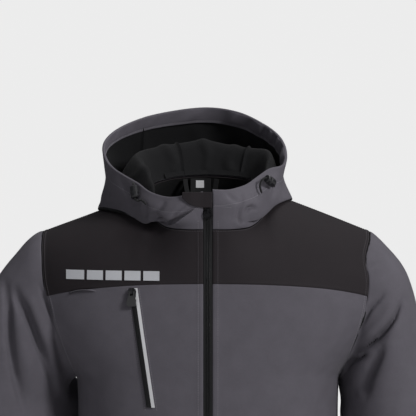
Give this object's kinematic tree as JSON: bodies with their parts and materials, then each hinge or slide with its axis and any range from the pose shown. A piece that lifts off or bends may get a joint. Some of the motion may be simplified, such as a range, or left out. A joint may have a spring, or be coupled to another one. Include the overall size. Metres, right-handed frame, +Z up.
{
  "type": "hooded softshell jacket",
  "caption": "Grey and black hooded softshell jacket, worn and zipped up, with a chest pocket, drawcords and a row of plain reflective bars.",
  "frame": {"origin": "on the axis of the neck, level with the points where the shoulders meet the neck", "axes": "+Z up, -Y the front of the garment, +X the viewer's right, which is the wearer's left"},
  "size_m": [0.7482, 0.2975, 0.831],
  "materials": {
    "shell_grey": "matt woven softshell",
    "shell_black": "matt woven softshell",
    "zip_black": "woven tape and coil",
    "metal_dark": "satin black",
    "white_trim": "matt",
    "reflective": "retroreflective film",
    "cord_black": "satin moulded and braided",
    "trim_black": "matt tape"
  },
  "bodies": {
    "garment": {"front_left": "shell_grey", "front_right": "shell_grey", "front_yoke_left": "shell_black", "front_yoke_right": "shell_black", "back_panel": "shell_grey", "back_yoke": "shell_black", "sleeve_left": "shell_grey", "sleeve_right": "shell_grey", "hood_side_left": "shell_grey", "hood_centre": "shell_grey", "hood_side_right": "shell_grey", "hood_hem_facing": "shell_grey", "neck_tape": "trim_black", "hanger_loop": "trim_black", "label_backing": "trim_black", "label_blank": "white_trim", "chin_guard": "shell_black", "front_zip": "zip_black", "pocket_zip": "zip_black", "pocket_piping": "white_trim", "reflective_bar_1": "reflective", "reflective_bar_2": "reflective", "reflective_bar_3": "reflective", "reflective_bar_4": "reflective", "reflective_bar_5": "reflective", "front_slider": "metal_dark", "pocket_slider": "metal_dark", "cord_lock_left": "cord_black", "drawcord_left": "cord_black", "cord_lock_right": "cord_black", "drawcord_right": "cord_black"},
    "front_pull_tab": {"front_pull": "metal_dark"},
    "pocket_pull_tab": {"pocket_pull": "trim_black"}
  },
  "joints": [
    {"name": "front_pull_swing", "type": "hinge", "parent": "garment", "child": "front_pull_tab", "pos_m": [0, -0.10865, -0.023], "axis": [-1, 0, 0], "range_deg": [0, 100]},
    {"name": "pocket_pull_swing", "type": "hinge", "parent": "garment", "child": "pocket_pull_tab", "pos_m": [-0.10825, -0.12846, -0.13776], "axis": [-0.9879, 0.1552, 0], "range_deg": [0, 150]}
  ]
}
